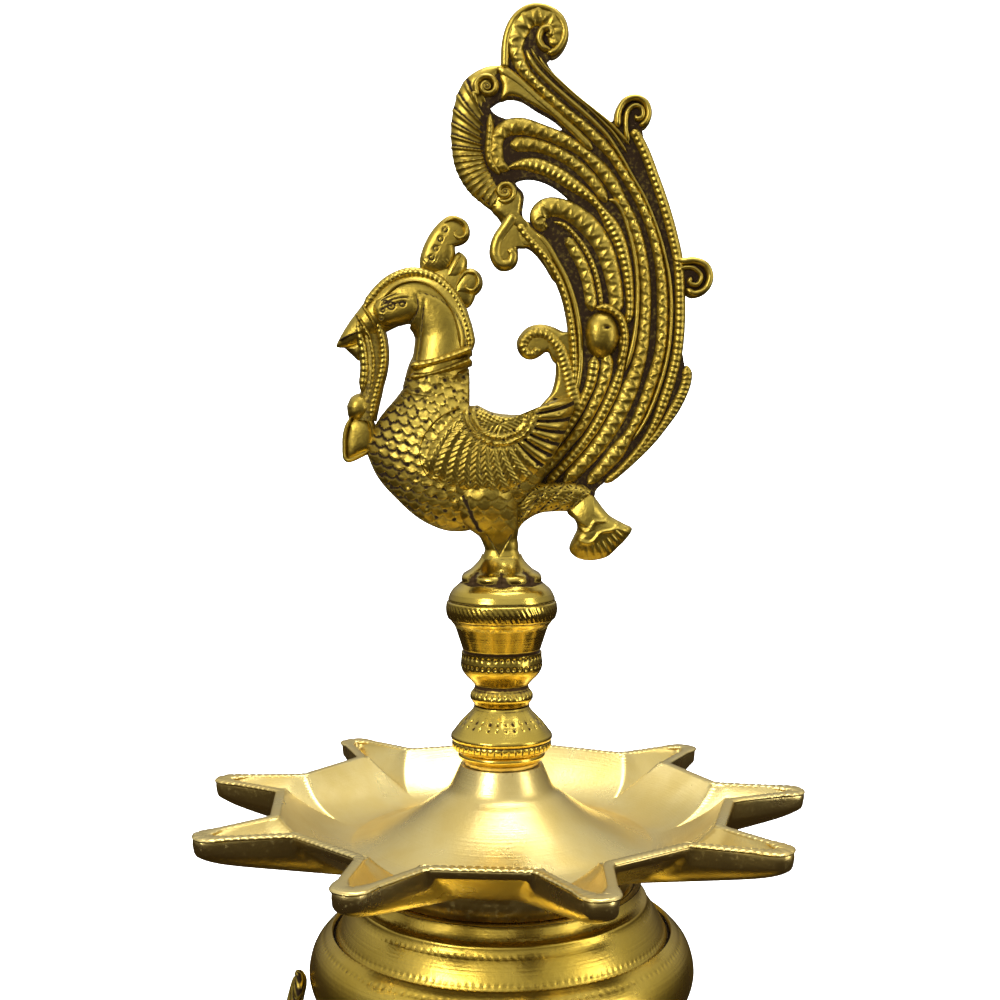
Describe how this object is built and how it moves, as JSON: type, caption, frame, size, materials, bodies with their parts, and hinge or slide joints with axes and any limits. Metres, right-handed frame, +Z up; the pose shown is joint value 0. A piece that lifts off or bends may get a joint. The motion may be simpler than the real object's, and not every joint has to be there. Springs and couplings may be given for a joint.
{
  "type": "standing oil lamp",
  "caption": "Tall brass standing oil lamp: stepped foot, turned column, star-shaped oil dish with wick spouts, and a cast peacock finial; sections screw apart.",
  "frame": {"origin": "middle of the foot's underside, on the lamp's axis", "axes": "+Z up along the lamp's axis; the bird faces -X; the front of the lamp is -Y"},
  "size_m": [0.2553, 0.2549, 0.7635],
  "materials": {
    "cast_brass_dark_recess": "cast, polished on the high parts, dark in the recesses",
    "satin_brass": "satin, hand filed",
    "polished_brass": "turned and polished",
    "turned_brass": "turned, soft polish",
    "plain_brass_fasteners": "plain machined"
  },
  "bodies": {
    "foot": {"foot_base": "turned_brass", "foot_dome": "turned_brass", "foot_lock_washer": "plain_brass_fasteners", "foot_nut": "plain_brass_fasteners"},
    "column_washer": {"column_washer": "plain_brass_fasteners"},
    "column": {"column_stud": "plain_brass_fasteners", "lower_collar": "polished_brass", "lower_baluster": "turned_brass", "knop": "polished_brass", "upper_baluster": "turned_brass", "column_nut": "plain_brass_fasteners", "bracket_drum": "turned_brass", "bracket_1": "cast_brass_dark_recess", "bracket_2": "cast_brass_dark_recess", "bracket_3": "cast_brass_dark_recess", "bracket_screw_1": "plain_brass_fasteners", "bracket_screw_2": "plain_brass_fasteners", "bracket_screw_3": "plain_brass_fasteners"},
    "dish_washer": {"dish_washer": "plain_brass_fasteners"},
    "dish": {"capital": "turned_brass", "dish_stud": "plain_brass_fasteners", "dish": "satin_brass"},
    "finial_washer": {"finial_washer": "plain_brass_fasteners"},
    "finial": {"finial_stud": "plain_brass_fasteners", "finial_foot": "polished_brass", "finial_knob": "polished_brass", "peacock": "cast_brass_dark_recess"}
  },
  "joints": [
    {"name": "column_rise", "type": "slide", "parent": "foot", "child": "column_washer", "axis": [0, 0, 1], "range_m": [0, 0.0098]},
    {"name": "column_turn", "type": "hinge", "parent": "column_washer", "child": "column", "pos_m": [0, 0, 0.0901], "axis": [0, 0, 1], "range_deg": [0, 1170]},
    {"name": "dish_rise", "type": "slide", "parent": "column", "child": "dish_washer", "axis": [0, 0, 1], "range_m": [0, 0.0098]},
    {"name": "dish_turn", "type": "hinge", "parent": "dish_washer", "child": "dish", "pos_m": [0, 0, 0.3491], "axis": [0, 0, 1], "range_deg": [0, 1170]},
    {"name": "finial_rise", "type": "slide", "parent": "dish", "child": "finial_washer", "axis": [0, 0, 1], "range_m": [0, 0.0098]},
    {"name": "finial_turn", "type": "hinge", "parent": "finial_washer", "child": "finial", "pos_m": [0, 0, 0.4465], "axis": [0, 0, 1], "range_deg": [0, 1170]}
  ],
  "couplings": [
    {"joint": "column_rise", "follows": "column_turn", "m_per_rad": 0.00047746},
    {"joint": "dish_rise", "follows": "dish_turn", "m_per_rad": 0.00047746},
    {"joint": "finial_rise", "follows": "finial_turn", "m_per_rad": 0.00047746}
  ]
}
